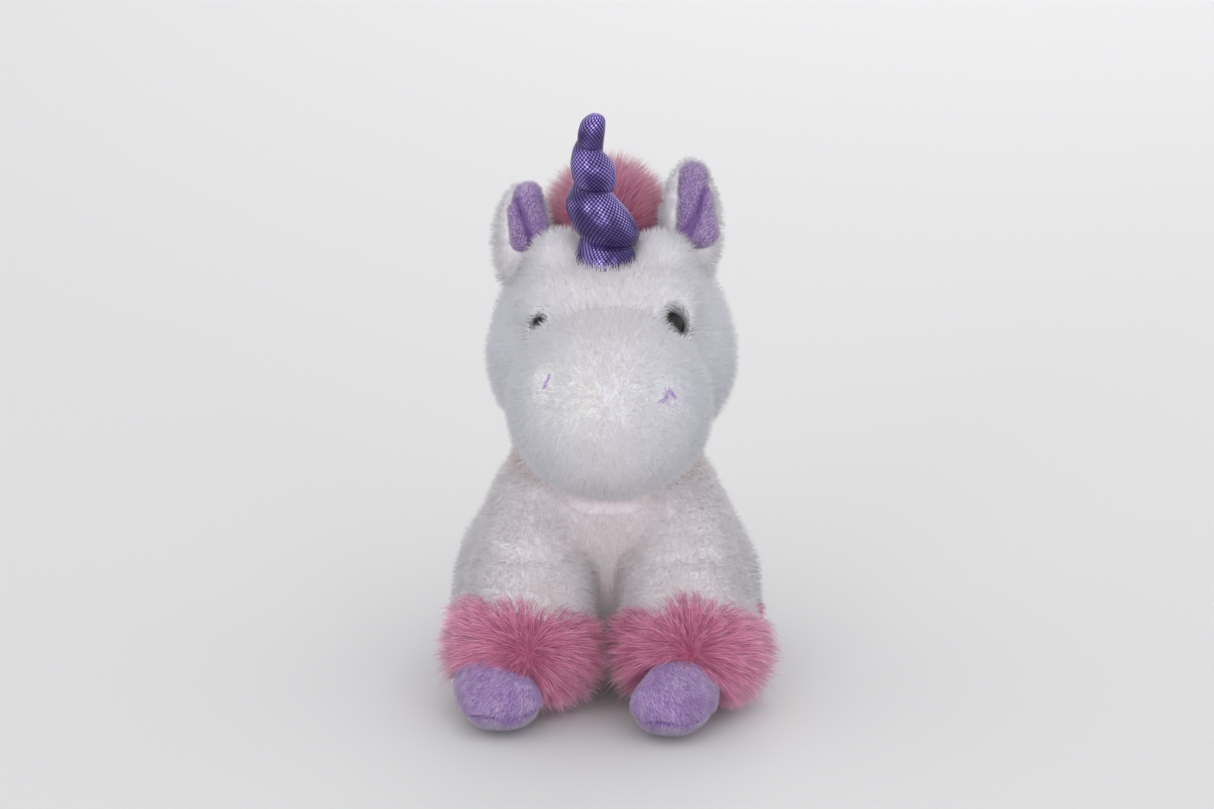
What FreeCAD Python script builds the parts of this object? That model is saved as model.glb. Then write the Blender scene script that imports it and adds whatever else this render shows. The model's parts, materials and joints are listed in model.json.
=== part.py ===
"""Plush unicorn toy, sitting with its front legs stretched forward.

Units are millimetres. +Z is up, the toy faces -Y, and its own left side is +X. The origin is the
centre of the flat seat that the stuffed body rests on. Every fabric cover is a closed shell round
its filling. Each limb, the neck and the tail start in a ball that sits in a round socket, so that
they can flop as sewn limbs do without cutting into the body.
"""
import FreeCAD
import Part

import math
import os

Vector = FreeCAD.Vector

# Fabric and gaps
CLOTH = 5.0  # plush fabric with its pile
FOIL_CLOTH = 1.0  # thin metallic fabric of the horn
FILL_GAP = 0.2  # between a cover and its filling
SOCKET_GAP = 0.6  # between a limb's ball and its socket
SEAM_GAP = 0.3  # between two sewn-together pieces

# Torso: horizontal sections as height, centre y, half width, half depth
TORSO_SECTIONS = (
    (0.0, 0.0, 40.0, 42.0),
    (12.0, -1.0, 51.0, 54.0),
    (35.0, -4.0, 57.0, 59.0),
    (60.0, -13.0, 54.0, 54.0),
    (80.0, -23.0, 47.0, 47.0),
    (93.4, -29.0, 42.5, 42.0),
)

# Neck: the upper part of a ball that the head nods on, flat where it turns on the torso
NECK = Vector(0.0, -30.0, 90.0)
NECK_RADIUS = 42.0
NECK_FLAT = 94.0

# Head and muzzle, as centre and three radii
SKULL = Vector(0.0, -42.0, 155.0)
SKULL_RADII = (53.0, 52.0, 47.0)
MUZZLE = Vector(0.0, -100.0, 144.0)
MUZZLE_RADII = (45.0, 42.0, 41.0)

# Eyes: plastic domes on a shank, held by a washer inside the head
EYE_X, EYE_Z = 28.0, 173.5
EYE_RADIUS = 5.5
EYE_SINK = 1.0  # the dome's centre below the head's surface
EYE_SHANK_RADIUS, EYE_SHANK_LENGTH = 2.0, 13.0
EYE_SHANK_IN_DOME = 0.5
EYE_SHANK_ROOM = 0.1
WASHER_RADIUS, WASHER_THICK, WASHER_DEPTH = 7.0, 1.6, 6.0
WASHER_ROOM = 0.2

# Nostrils: embroidered patches on the muzzle
NOSTRIL_X, NOSTRIL_Z = 25.0, 160.0
NOSTRIL_RADIUS, NOSTRIL_THICK = 3.4, 1.2
NOSTRIL_LIFT = 0.4

# Horn, and the thread wound round it like a left-handed screw
HORN_BASE = Vector(0.0, -57.0, 189.0)
HORN_LEAN_FORWARD, HORN_LEAN_SIDE = 3.0, -4.0  # degrees
HORN_LENGTH = 73.5
HORN_BASE_RADIUS, HORN_TIP_RADIUS = 15.0, 4.5
THREAD_RADIUS, THREAD_PITCH = 0.6, 22.0
THREAD_START, THREAD_RISE = 6.0, 54.0
THREAD_PHASE = 41.0  # degrees from +X where the thread starts
THREAD_STEPS = 60

# Ears: a flat leaf whose lower edge is sewn along the slope of the head
EAR = Vector(40.0, -34.0, 201.0)
EAR_RADII = (13.0, 5.0, 31.0)
EAR_HINGE = Vector(40.5, -34.0, 186.0)
EAR_HINGE_SLOPE = 45.0  # degrees below horizontal, outward
EAR_HINGE_RADIUS, EAR_HINGE_LENGTH = 4.5, 20.0
EAR_BASE_GAP = 1.8

# Mane: one part on the head, one down the neck
CREST = Vector(0.0, -8.0, 172.0)
CREST_RADII = (24.0, 36.0, 58.0)
CREST_LOW = 142.0
NAPE = Vector(0.0, 20.0, 80.0)
NAPE_RADII = (16.0, 17.0, 30.0)
NAPE_CLEARANCE = 3.0  # from the neck, so that the neck can turn

# Tail: ball root, fat middle and tip, as centre and radius
TAIL_ROOT, TAIL_ROOT_RADIUS = Vector(0.0, 54.0, 38.0), 9.5
TAIL_MIDDLE, TAIL_MIDDLE_RADIUS = Vector(0.0, 80.0, 26.0), 16.0
TAIL_TIP, TAIL_TIP_RADIUS = Vector(0.0, 112.0, 13.0), 8.0
TAIL_HAIR = 4.0  # pressed-down hair round the stuffed core
TAIL_REACH = {
    "root": TAIL_ROOT,
    "root_radius": TAIL_ROOT_RADIUS,
    "ankle": TAIL_MIDDLE,
    "room_radius": TAIL_MIDDLE_RADIUS,
    "swing": (Vector(0, 0, 1), (0, -25, 25)),
}

# Legs, for the left side: ball root, ankle and hoof, with their radii. In these and in the tail's
# reach, "room_radius" is what the torso must leave clear at the far end, and "swing" the hinge axis
# and the angles in degrees to clear.
FRONT_LEG = {
    "root": Vector(29.0, -48.0, 64.0),
    "root_radius": 25.0,
    "ankle": Vector(38.0, -92.0, 29.5),
    "ankle_radius": 29.0,
    "room_radius": 29.0,
    "hoof": Vector(40.0, -116.0, 16.5),
    "hoof_radii": (20.0, 22.0, 15.5),
    "swing": (Vector(-1, 0, 0), (-5, 8, 20)),
}
HIND_LEG = {
    "root": Vector(46.0, 2.0, 30.0),
    "root_radius": 22.0,
    "ankle": Vector(51.0, -24.0, 21.0),
    "ankle_radius": 18.0,
    "room_radius": 21.5,
    "hoof": Vector(55.0, -42.0, 14.0),
    "hoof_radii": (15.0, 18.0, 13.0),
    "swing": (Vector(0, 0, 1), (0, 20)),
}
LIMB_ROOM = 0.8  # clear space round a limb wherever it swings
ROOM_STEP = 0.15  # keeps the rooms of one limb from sharing a surface
CUFF_PILE = 3.0  # how far the pressed-down long pile stands off the leg
SOLE_HEIGHT = 8.0  # the sole seam's height above the floor
SOLE_TILT = 8.0  # degrees, toe up
FLOOR_GAP = 0.5  # the cuffs' height above the floor

# Bean bag that weights the seat
BEAN_BAG = Vector(0.0, 4.0, 26.0)
BEAN_BAG_RADII = (21.0, 26.0, 17.0)
BEAN_CLOTH = 1.0

BIG = 400.0  # larger than the toy, for cutting blocks
OUT = "parts"


def ellipsoid(centre, radii):
    """A solid ellipsoid with its axes along X, Y and Z."""
    stretch = FreeCAD.Matrix()
    stretch.scale(*radii)
    shape = Part.makeSphere(1.0).transformGeometry(stretch)
    shape.translate(centre)
    return shape


def ball(centre, radius):
    """A solid sphere."""
    return Part.makeSphere(radius, centre)


def along(shape, start, direction):
    """Moves a shape built along +Z from the origin so that it starts at start and runs along direction."""
    turn = FreeCAD.Rotation(Vector(0, 0, 1), direction)
    shape.Placement = FreeCAD.Placement(start, turn).multiply(shape.Placement)
    return shape


def tapered_capsule(start, start_radius, end, end_radius):
    """The hull of two balls, made by turning arc, line and arc round the line of centres."""
    length = (end - start).Length
    slope = math.asin((start_radius - end_radius) / length)
    sine, cosine = math.sin(slope), math.cos(slope)

    def point(centre, radius, angle):
        return Vector(radius * math.sin(angle), 0, centre - radius * math.cos(angle))

    touch = math.pi / 2 + slope
    low_pole = point(0, start_radius, 0)
    low_touch = Vector(start_radius * cosine, 0, start_radius * sine)
    high_touch = Vector(end_radius * cosine, 0, length + end_radius * sine)
    high_pole = point(length, end_radius, math.pi)
    edges = [
        Part.Arc(low_pole, point(0, start_radius, touch / 2), low_touch).toShape(),
        Part.makeLine(low_touch, high_touch),
        Part.Arc(high_touch, point(length, end_radius, (touch + math.pi) / 2), high_pole).toShape(),
        Part.makeLine(high_pole, low_pole),
    ]
    profile = Part.Face(Part.Wire(edges))
    solid = profile.revolve(Vector(0, 0, 0), Vector(0, 0, 1), 360)
    return along(solid, start, end - start)


def half_space(point, direction):
    """A large block on the side of point that direction shows."""
    block = Part.makeBox(BIG, BIG, BIG, Vector(-BIG / 2, -BIG / 2, 0))
    return along(block, point, direction)


def mirrored(shape):
    """The same shape on the other side of the toy."""
    return shape.mirror(Vector(0, 0, 0), Vector(1, 0, 0))


def torso_form(shrink):
    """The torso as a loft of ellipses, each smaller by shrink."""
    wires = []
    last = len(TORSO_SECTIONS) - 1
    for index, (height, middle, half_width, half_depth) in enumerate(TORSO_SECTIONS):
        if index == 0:
            height += shrink
        elif index == last:
            height -= shrink
        centre = Vector(0, middle, height)
        width, depth = half_width - shrink, half_depth - shrink
        side = centre + Vector(width, 0, 0)
        back = centre + Vector(0, depth, 0)
        if width >= depth:
            curve = Part.Ellipse(side, back, centre)
        else:
            curve = Part.Ellipse(back, centre - Vector(width, 0, 0), centre)
        wires.append(Part.Wire(curve.toShape()))
    return Part.makeLoft(wires, True, False)


def grown(radii, extra):
    """Three radii, each larger by extra."""
    return tuple(radius + extra for radius in radii)


def on_surface(centre, radii, x, z):
    """The front surface point of an ellipsoid at x and z, and its outward normal."""
    share = 1 - ((x - centre.x) / radii[0]) ** 2 - ((z - centre.z) / radii[2]) ** 2
    y = centre.y - radii[1] * math.sqrt(share)
    normal = Vector(
        (x - centre.x) / radii[0] ** 2,
        (y - centre.y) / radii[1] ** 2,
        (z - centre.z) / radii[2] ** 2,
    )
    return Vector(x, y, z), normal.normalize()


def leg(dims):
    """The five pieces of one left leg: cover, filling, cuff, hoof and sole."""
    root, ankle, hoof_centre = dims["root"], dims["ankle"], dims["hoof"]
    root_radius, ankle_radius = dims["root_radius"], dims["ankle_radius"]
    axis = ankle - root

    def form(extra):
        return tapered_capsule(root, root_radius + extra, ankle, ankle_radius + extra)

    beyond_ankle = half_space(ankle, axis)
    hoof_form = ellipsoid(hoof_centre, dims["hoof_radii"])
    hoof_space = ellipsoid(hoof_centre, grown(dims["hoof_radii"], SEAM_GAP))
    above_floor = half_space(Vector(0, 0, FLOOR_GAP), Vector(0, 0, 1))
    skin = form(0).cut(form(-CLOTH))
    cover = skin.cut(half_space(ankle - axis.normalize() * SEAM_GAP, axis)).cut(hoof_space)
    cuff = form(CUFF_PILE).cut(form(-CLOTH)).common(beyond_ankle).cut(hoof_space)
    cuff = cuff.common(above_floor)
    filling = form(-CLOTH - FILL_GAP).cut(hoof_space)
    toe_up = math.radians(SOLE_TILT)
    sole_normal = Vector(0, math.sin(toe_up), math.cos(toe_up))
    seam = Vector(hoof_centre.x, hoof_centre.y, SOLE_HEIGHT)
    sole = hoof_form.cut(half_space(seam, sole_normal))
    hoof = hoof_form.common(half_space(seam + sole_normal * FILL_GAP, sole_normal))
    return {"cover": cover, "filling": filling, "cuff": cuff, "hoof": hoof, "sole": sole}


def hinge_axis():
    """The direction of the left ear's sewn edge."""
    slope = math.radians(EAR_HINGE_SLOPE)
    return Vector(math.cos(slope), 0, -math.sin(slope))


def hinge_rod(extra):
    """The rolled lower edge of the left ear."""
    length = EAR_HINGE_LENGTH + 2 * extra
    start = EAR_HINGE - hinge_axis() * (length / 2)
    return Part.makeCylinder(EAR_HINGE_RADIUS + extra, length, start, hinge_axis())


def ear():
    """The white back and the lilac lining of the left ear."""
    leaf = ellipsoid(EAR, EAR_RADII).cut(ellipsoid(SKULL, grown(SKULL_RADII, EAR_BASE_GAP)))
    form = leaf.fuse(hinge_rod(0))
    gap = Vector(0, SEAM_GAP / 2, 0)
    back = form.common(half_space(EAR + gap, Vector(0, 1, 0)))
    lining = form.common(half_space(EAR - gap, Vector(0, -1, 0)))
    return back, lining


def horn():
    """The horn's cover, filling and the thread wound round it."""
    length = HORN_LENGTH - HORN_TIP_RADIUS

    def cone(thinner):
        base, tip = HORN_BASE_RADIUS - thinner, HORN_TIP_RADIUS - thinner
        body = Part.makeCone(base, tip, length - thinner, Vector(0, 0, thinner))
        return body.fuse(ball(Vector(0, 0, length), tip)).removeSplitter()

    cover = cone(0).cut(cone(FOIL_CLOTH))
    filling = cone(FOIL_CLOTH + FILL_GAP)
    taper = (HORN_BASE_RADIUS - HORN_TIP_RADIUS) / length
    points = []
    for step in range(THREAD_STEPS + 1):
        rise = THREAD_RISE * step / THREAD_STEPS
        height = THREAD_START + rise
        radius = HORN_BASE_RADIUS - taper * height + THREAD_RADIUS + SEAM_GAP
        angle = math.radians(THREAD_PHASE - 360 * rise / THREAD_PITCH)
        points.append(Vector(radius * math.cos(angle), radius * math.sin(angle), height))
    curve = Part.BSplineCurve()
    curve.interpolate(points)
    tangent = curve.tangent(curve.FirstParameter)[0]
    ring = Part.Wire(Part.makeCircle(THREAD_RADIUS, points[0], tangent))
    thread = Part.Wire(curve.toShape()).makePipeShell([ring], True, True)
    lean = FreeCAD.Rotation(Vector(1, 0, 0), HORN_LEAN_FORWARD)
    lean = FreeCAD.Rotation(Vector(0, 1, 0), HORN_LEAN_SIDE).multiply(lean)
    for piece in (cover, filling, thread):
        piece.Placement = FreeCAD.Placement(HORN_BASE, lean).multiply(piece.Placement)
    return cover, filling, thread


def eye():
    """The left eye, its washer, their two spaces in the head, and the dome's space in the muzzle."""
    surface, normal = on_surface(SKULL, SKULL_RADII, EYE_X, EYE_Z)
    inward = normal * -1
    centre = surface + inward * EYE_SINK
    dome = ball(centre, EYE_RADIUS).common(half_space(surface + normal * SEAM_GAP, normal))
    shank = Part.makeCylinder(
        EYE_SHANK_RADIUS, EYE_SHANK_LENGTH, surface + normal * (SEAM_GAP + EYE_SHANK_IN_DOME), inward
    )
    seat = surface + inward * WASHER_DEPTH
    hole = EYE_SHANK_RADIUS + EYE_SHANK_ROOM
    washer = Part.makeCylinder(WASHER_RADIUS, WASHER_THICK, seat, inward)
    washer = washer.cut(Part.makeCylinder(hole, WASHER_THICK, seat, inward))
    dome_room = Part.makeCylinder(EYE_RADIUS + SEAM_GAP, EYE_RADIUS, surface, normal)
    shank_room = Part.makeCylinder(
        hole + EYE_SHANK_ROOM, EYE_SHANK_LENGTH, surface + normal * SEAM_GAP, inward
    )
    washer_room = Part.makeCylinder(
        WASHER_RADIUS + WASHER_ROOM, WASHER_THICK + 2 * WASHER_ROOM, seat + normal * WASHER_ROOM, inward
    )
    return dome.fuse(shank), washer, [shank_room, washer_room], dome_room


def nostril():
    """The left nostril, a raised embroidered patch."""
    surface, normal = on_surface(MUZZLE, MUZZLE_RADII, NOSTRIL_X, NOSTRIL_Z)
    return Part.makeCylinder(NOSTRIL_RADIUS, NOSTRIL_THICK, surface + normal * NOSTRIL_LIFT, normal)


def neck(thinner):
    """The neck's form, smaller by thinner on every side."""
    flat = Vector(0, 0, NECK_FLAT + thinner)
    return ball(NECK, NECK_RADIUS - thinner).common(half_space(flat, Vector(0, 0, 1)))


def tail(thinner):
    """The tail's form, smaller by thinner on every side."""
    root_radius, tip_radius = TAIL_ROOT_RADIUS - thinner, TAIL_TIP_RADIUS - thinner
    middle_radius = TAIL_MIDDLE_RADIUS - thinner
    front = tapered_capsule(TAIL_ROOT, root_radius, TAIL_MIDDLE, middle_radius)
    back = tapered_capsule(TAIL_MIDDLE, middle_radius, TAIL_TIP, tip_radius)
    return front.fuse(back)


def swing_rooms(dims):
    """The spaces that a left leg or the tail passes through inside the torso."""
    axis, angles = dims["swing"]
    rooms = []
    for step, angle in enumerate(angles):
        extra = LIMB_ROOM + step * ROOM_STEP
        room = tapered_capsule(
            dims["root"], dims["root_radius"] + extra, dims["ankle"], dims["room_radius"] + extra
        )
        room.rotate(dims["root"], axis, angle)
        rooms.append(room)
    return rooms


def carved(shape, cutters):
    """A shape with each cutter taken out in turn, as its largest solid."""
    for cutter in cutters:
        shape = shape.cut(cutter)
    return max(shape.Solids, key=lambda solid: solid.Volume)


def build():
    """All pieces of the toy, by node name."""
    pieces = {}
    legs = {"front": leg(FRONT_LEG), "hind": leg(HIND_LEG)}
    for position, parts in legs.items():
        for name, shape in parts.items():
            pieces[f"{position}_left_leg_{name}"] = shape
            pieces[f"{position}_right_leg_{name}"] = mirrored(shape)

    tail_form = tail(0)
    rooms = swing_rooms(FRONT_LEG) + swing_rooms(HIND_LEG)
    rooms += [mirrored(room) for room in rooms]
    rooms += swing_rooms(TAIL_REACH)

    bag_room = ellipsoid(BEAN_BAG, grown(BEAN_BAG_RADII, FILL_GAP))
    pieces["torso_cover"] = carved(torso_form(0).cut(torso_form(CLOTH)), rooms)
    pieces["torso_filling"] = carved(torso_form(CLOTH + FILL_GAP), [*rooms, bag_room])
    bag = ellipsoid(BEAN_BAG, BEAN_BAG_RADII)
    pieces["bean_bag_cover"] = bag.cut(ellipsoid(BEAN_BAG, grown(BEAN_BAG_RADII, -BEAN_CLOTH)))
    pieces["bean_bag_pellets"] = ellipsoid(BEAN_BAG, grown(BEAN_BAG_RADII, -BEAN_CLOTH - FILL_GAP))
    neck_room = ball(NECK, NECK_RADIUS + NAPE_CLEARANCE)
    pieces["mane_nape"] = ellipsoid(NAPE, NAPE_RADII).cut([torso_form(-SEAM_GAP), neck_room])

    pieces["neck_cover"] = neck(0).cut(neck(CLOTH))
    pieces["neck_filling"] = neck(CLOTH + FILL_GAP)

    left_eye, left_washer, left_rooms, dome_room = eye()
    eye_rooms = left_rooms + [mirrored(room) for room in left_rooms]
    pieces["eye_left"], pieces["eye_right"] = left_eye, mirrored(left_eye)
    pieces["eye_washers"] = Part.makeCompound([left_washer, mirrored(left_washer)])
    left_nostril = nostril()
    pieces["nostril_left"], pieces["nostril_right"] = left_nostril, mirrored(left_nostril)
    horn_cover, horn_filling, horn_thread = horn()
    skull = ellipsoid(SKULL, SKULL_RADII)
    skull_room = ellipsoid(SKULL, grown(SKULL_RADII, SEAM_GAP))
    pieces["horn_cover"] = horn_cover.cut(skull_room)
    pieces["horn_filling"] = horn_filling.cut(skull_room)
    pieces["horn_thread"] = horn_thread.cut(skull_room)
    ear_back, ear_lining = ear()
    ear_slots = [hinge_rod(SOCKET_GAP), mirrored(hinge_rod(SOCKET_GAP))]
    for name, shape in (("back", ear_back), ("lining", ear_lining)):
        pieces[f"ear_left_{name}"] = shape
        pieces[f"ear_right_{name}"] = mirrored(shape)

    neck_socket = ball(NECK, NECK_RADIUS + SOCKET_GAP)
    hollows = [neck_socket, *ear_slots, *eye_rooms]
    skull_inner = ellipsoid(SKULL, grown(SKULL_RADII, -CLOTH))
    muzzle = ellipsoid(MUZZLE, MUZZLE_RADII)
    muzzle_inner = ellipsoid(MUZZLE, grown(MUZZLE_RADII, -CLOTH))
    muzzle_room = ellipsoid(MUZZLE, grown(MUZZLE_RADII, SEAM_GAP))
    pieces["head_cover"] = carved(skull.cut(skull_inner), [muzzle_room, *hollows])
    pieces["muzzle_cover"] = carved(muzzle.cut(muzzle_inner), [skull_room, dome_room, mirrored(dome_room)])
    fill_skull = ellipsoid(SKULL, grown(SKULL_RADII, -CLOTH - FILL_GAP))
    fill_muzzle = ellipsoid(MUZZLE, grown(MUZZLE_RADII, -CLOTH - FILL_GAP))
    pieces["head_filling"] = carved(fill_skull.fuse(fill_muzzle), hollows)
    crest_room = [skull_room, half_space(Vector(0, 0, CREST_LOW), Vector(0, 0, -1))]
    pieces["mane_crest"] = ellipsoid(CREST, CREST_RADII).cut(crest_room)

    pieces["tail_hair"] = tail_form.cut(tail(TAIL_HAIR))
    pieces["tail_core"] = tail(TAIL_HAIR + FILL_GAP)
    return pieces


def write(pieces):
    """Writes each piece to its own STEP file, as closed solids only."""
    os.makedirs(OUT, exist_ok=True)
    for name, shape in sorted(pieces.items()):
        solids = shape.Solids
        print(name, "solids", len(solids), "volume", round(sum(s.Volume for s in solids)), shape.isValid())
        kept = solids[0] if len(solids) == 1 else Part.makeCompound(solids)
        kept.exportStep(os.path.join(OUT, f"{name}.step"))


write(build())
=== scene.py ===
"""Looks of the plush unicorn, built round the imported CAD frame.

Every soft form is a closed surface of a distance field. Plush is a form covered in small closed
hairs, long ones for the pink pile and short ones for the white. Lengths are in millimetres until a
mesh is made.
"""

import json
import math

import bpy
import numpy as np
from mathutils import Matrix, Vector


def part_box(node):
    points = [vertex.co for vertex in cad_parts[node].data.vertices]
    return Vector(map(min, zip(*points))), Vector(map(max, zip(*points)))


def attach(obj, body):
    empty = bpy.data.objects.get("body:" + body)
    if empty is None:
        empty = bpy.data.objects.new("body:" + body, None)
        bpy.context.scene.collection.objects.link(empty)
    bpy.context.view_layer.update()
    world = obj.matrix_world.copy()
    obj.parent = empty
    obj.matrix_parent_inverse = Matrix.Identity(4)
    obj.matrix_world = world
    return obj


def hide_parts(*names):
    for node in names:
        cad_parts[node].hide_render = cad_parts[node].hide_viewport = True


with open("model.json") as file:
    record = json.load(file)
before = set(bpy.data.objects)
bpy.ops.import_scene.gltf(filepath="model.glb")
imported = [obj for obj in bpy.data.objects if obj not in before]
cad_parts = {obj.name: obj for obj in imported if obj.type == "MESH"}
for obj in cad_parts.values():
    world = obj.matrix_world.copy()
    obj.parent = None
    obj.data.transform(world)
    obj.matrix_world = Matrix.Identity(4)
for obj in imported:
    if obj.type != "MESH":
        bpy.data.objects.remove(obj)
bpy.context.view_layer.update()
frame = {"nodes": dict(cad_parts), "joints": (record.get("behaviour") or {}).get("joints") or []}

MM = 0.001
RNG = np.random.default_rng(11)


# ---- places taken from the CAD


def node_box(node):
    """Lowest and highest corner of a CAD node in millimetres."""
    low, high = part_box(node)
    return np.array(low) / MM, np.array(high) / MM


def joint(name):
    """A joint's pivot in millimetres."""
    found = next(j for j in frame["joints"] if j["name"] == name)
    return np.array(found["pos_m"]) / MM


SKULL_RADII = np.array([53.0, 52.0, 47.0])
MUZZLE_RADII = np.array([43.0, 42.0, 41.0])
SKULL = (node_box("head_cover")[1] - SKULL_RADII) * [0, 1, 1]
MUZZLE = (node_box("muzzle_cover")[0] + MUZZLE_RADII) * [0, 1, 1]
SHOULDER = joint("front_left_leg_raise")
HIP = joint("hind_left_leg_spread")
TAIL = joint("tail_swing")
NECK = joint("head_nod")


# ---- distance fields


def length(v):
    return np.sqrt((v * v).sum(-1))


def unit(v):
    return v / np.maximum(length(v), 1e-9)[..., None]


def ellipsoid(p, centre, radii):
    q = (p - centre) / radii
    k0 = length(q)
    k1 = length(q / radii)
    return k0 * (k0 - 1) / np.maximum(k1, 1e-9)


def capsule(p, a, b, ra, rb):
    a, b = np.array(a, float), np.array(b, float)
    along = np.clip(((p - a) @ (b - a)) / ((b - a) @ (b - a)), 0, 1)
    return length(p - a - along[:, None] * (b - a)) - (ra + (rb - ra) * along)


def smooth_min(a, b, k):
    h = np.clip(0.5 + 0.5 * (b - a) / k, 0, 1)
    return b + (a - b) * h - k * h * (1 - h)


def smooth_max(a, b, k):
    return -smooth_min(-a, -b, k)


def mirrored(points, side):
    """Points on the toy's right side moved to its left, so that one field serves both."""
    return points * np.array([side, 1.0, 1.0])


def folded(points):
    """Points with the toy's right half laid on its left."""
    return np.concatenate([np.abs(points[:, :1]), points[:, 1:]], 1)


LUMP_WAVES = unit(np.random.default_rng(3).normal(size=(9, 3)))
LUMP_PHASES = np.random.default_rng(4).random(9) * 2 * math.pi


def lumps(p, size):
    """Soft unevenness between about -1 and 1, with lumps of about the given size."""
    turns = p @ LUMP_WAVES.T * (math.pi / size * np.linspace(0.7, 1.5, 9)) + LUMP_PHASES
    return np.sin(turns).mean(1) * 2


def curve(at, knots, values):
    """A smooth curve through values at knots."""
    knots, values = np.array(knots, float), np.array(values, float)
    slopes = np.gradient(values, knots)
    i = np.clip(np.searchsorted(knots, at) - 1, 0, len(knots) - 2)
    wide = knots[i + 1] - knots[i]
    t = np.clip((at - knots[i]) / wide, 0, 1)
    rise = t * (1 - t) ** 2 * slopes[i] - t * t * (1 - t) * slopes[i + 1]
    return (1 + 2 * t) * (1 - t) ** 2 * values[i] + t * t * (3 - 2 * t) * values[i + 1] + rise * wide


def gradient(field, points, step=0.2):
    out = np.empty_like(points)
    for axis in range(3):
        shift = np.zeros(3)
        shift[axis] = step
        out[:, axis] = field(points + shift) - field(points - shift)
    return out / (2 * step)


def around(index, axis, cells):
    """The four cells round each crossed edge, in turn, and whether each of them is in the grid."""
    first, second = (axis + 1) % 3, (axis + 2) % 3
    for da, db in ((0, 0), (-1, 0), (-1, -1), (0, -1)):
        cell = index.copy()
        cell[:, first] += da
        cell[:, second] += db
        yield cell, ((cell >= 0) & (cell < cells)).all(1)


def surface(field, low, high, step):
    """Vertices and quads of the surface where field is 0, by surface nets, then pulled onto it."""
    low, high = np.array(low, float), np.array(high, float)
    counts = np.ceil((high - low) / step).astype(int) + 1
    ticks = [low[i] + step * np.arange(counts[i]) for i in range(3)]
    grid = np.stack(np.meshgrid(*ticks, indexing="ij"), -1).reshape(-1, 3)
    value = field(grid).reshape(counts)
    cells = counts - 1
    total = np.zeros((*cells, 3))
    count = np.zeros(cells)
    edges = []
    for axis in range(3):
        first = [slice(None)] * 3
        second = [slice(None)] * 3
        first[axis], second[axis] = slice(0, -1), slice(1, None)
        a, b = value[tuple(first)], value[tuple(second)]
        crossing = (a < 0) != (b < 0)
        index = np.argwhere(crossing)
        share = (a[crossing] / (a[crossing] - b[crossing]))[:, None]
        direction = np.zeros(3)
        direction[axis] = 1
        point = low + step * (index + share * direction)
        edges.append((axis, index, a[crossing] < 0))
        for cell, inside in around(index, axis, cells):
            where = tuple(cell[inside].T)
            np.add.at(total, where, point[inside])
            np.add.at(count, where, 1)
    used = np.argwhere(count > 0)
    number = -np.ones(cells, int)
    number[tuple(used.T)] = np.arange(len(used))
    points = total[tuple(used.T)] / count[tuple(used.T)][:, None]
    quads = []
    for axis, index, outward in edges:
        ring = []
        for cell, inside in around(index, axis, cells):
            cell = np.clip(cell, 0, cells - 1)
            ring.append(np.where(inside, number[tuple(cell.T)], -1))
        ring = np.stack(ring, 1)
        ring[~outward] = ring[~outward][:, ::-1]
        quads.append(ring[(ring >= 0).all(1)])
    quads = np.concatenate(quads)
    for _ in range(3):
        slope = gradient(field, points)
        points = points - slope * (field(points) / np.maximum((slope * slope).sum(1), 0.05))[:, None]
    return points, quads


# ---- meshes


def build_mesh(name, points, faces):
    """A mesh object from millimetre points and an array of equal-sided faces."""
    mesh = bpy.data.meshes.new(name)
    faces = np.ascontiguousarray(faces, np.int32)
    sides = faces.shape[1]
    mesh.vertices.add(len(points))
    mesh.vertices.foreach_set("co", (points * MM).astype(np.float32).ravel())
    mesh.loops.add(faces.size)
    mesh.loops.foreach_set("vertex_index", faces.ravel())
    mesh.polygons.add(len(faces))
    mesh.polygons.foreach_set("loop_start", np.arange(0, faces.size, sides, dtype=np.int32))
    mesh.polygons.foreach_set("loop_total", np.full(len(faces), sides, np.int32))
    mesh.polygons.foreach_set("use_smooth", np.ones(len(faces), bool))
    mesh.update(calc_edges=True)
    mesh.validate()
    obj = bpy.data.objects.new(name, mesh)
    bpy.context.scene.collection.objects.link(obj)
    return obj


def add_uv(obj, per_loop):
    layer = obj.data.uv_layers.new(name="OFBake")
    layer.uv.foreach_set("vector", per_loop.astype(np.float32).ravel())


def vertex_normals(points, faces):
    """Outward normals of a mesh's points."""
    a, b, c = points[faces[:, 0]], points[faces[:, 1]], points[faces[:, 2]]
    across = np.cross(b - a, c - a)
    if faces.shape[1] == 4:
        across = across + np.cross(c - a, points[faces[:, 3]] - a)
    out = np.zeros_like(points)
    for corner in range(faces.shape[1]):
        np.add.at(out, faces[:, corner], across)
    return unit(out)


def scattered(points, quads, per_mm2, keep=None):
    """Evenly scattered points on a quad surface, with their outward normals."""
    tris = np.concatenate([quads[:, [0, 1, 2]], quads[:, [0, 2, 3]]])
    normals = vertex_normals(points, quads)
    if keep is not None:
        tris = tris[keep(points[tris].mean(1))]
    corner = points[tris[:, 0]]
    tris = tris[np.lexsort((corner[:, 0] // 6, corner[:, 1] // 6, corner[:, 2] // 6))]
    a, b, c = (points[tris[:, k]] for k in range(3))
    total = np.cumsum(length(np.cross(b - a, c - a)) / 2)
    number = int(total[-1] * per_mm2)
    marks = (np.arange(number) + RNG.random(number)) * total[-1] / number
    pick = np.minimum(np.searchsorted(total, marks), len(a) - 1)
    r1, r2 = np.sqrt(RNG.random(number))[:, None], RNG.random(number)[:, None]
    shares = (1 - r1, r1 * (1 - r2), r1 * r2)
    spots = sum(w * points[tris[pick, k]] for k, w in enumerate(shares))
    return spots, unit(sum(w * normals[tris[pick, k]] for k, w in enumerate(shares)))


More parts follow.
